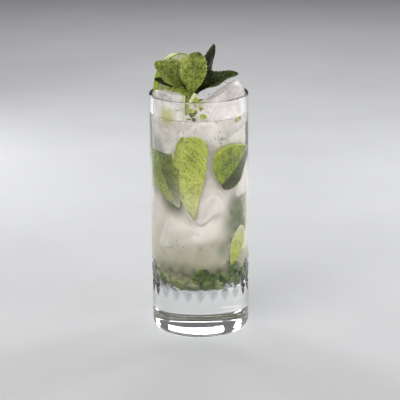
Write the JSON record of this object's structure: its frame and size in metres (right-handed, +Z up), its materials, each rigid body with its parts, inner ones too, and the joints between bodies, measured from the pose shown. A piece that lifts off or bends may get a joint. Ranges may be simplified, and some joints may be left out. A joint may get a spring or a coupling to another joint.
{
  "type": "mojito cocktail in a highball glass",
  "caption": "Tall cut-crystal highball glass filled with a cloudy mojito, with ice above the rim, a lime wheel standing on edge and a fresh mint sprig.",
  "frame": {"origin": "centre of the circle that the glass stands on", "axes": "+Z up along the glass's own axis; -Y faces the viewer; +X to the viewer's right"},
  "size_m": [0.0624, 0.0624, 0.1898],
  "materials": {
    "glass": "clear polished crystal",
    "drink": "cloudy pale grey-green liquid",
    "ice": "wet ice, clear with a frosted white core",
    "lime": "wet cut citrus flesh, pale pith and green peel",
    "mint": "fresh crinkled leaf, slightly glossy above and paler below"
  },
  "bodies": {
    "root": {"glass": "glass", "drink": "drink", "ice_right": "ice", "ice_left": "ice", "lime_wheel": "lime", "mint_sprig": "mint"}
  },
  "joints": []
}
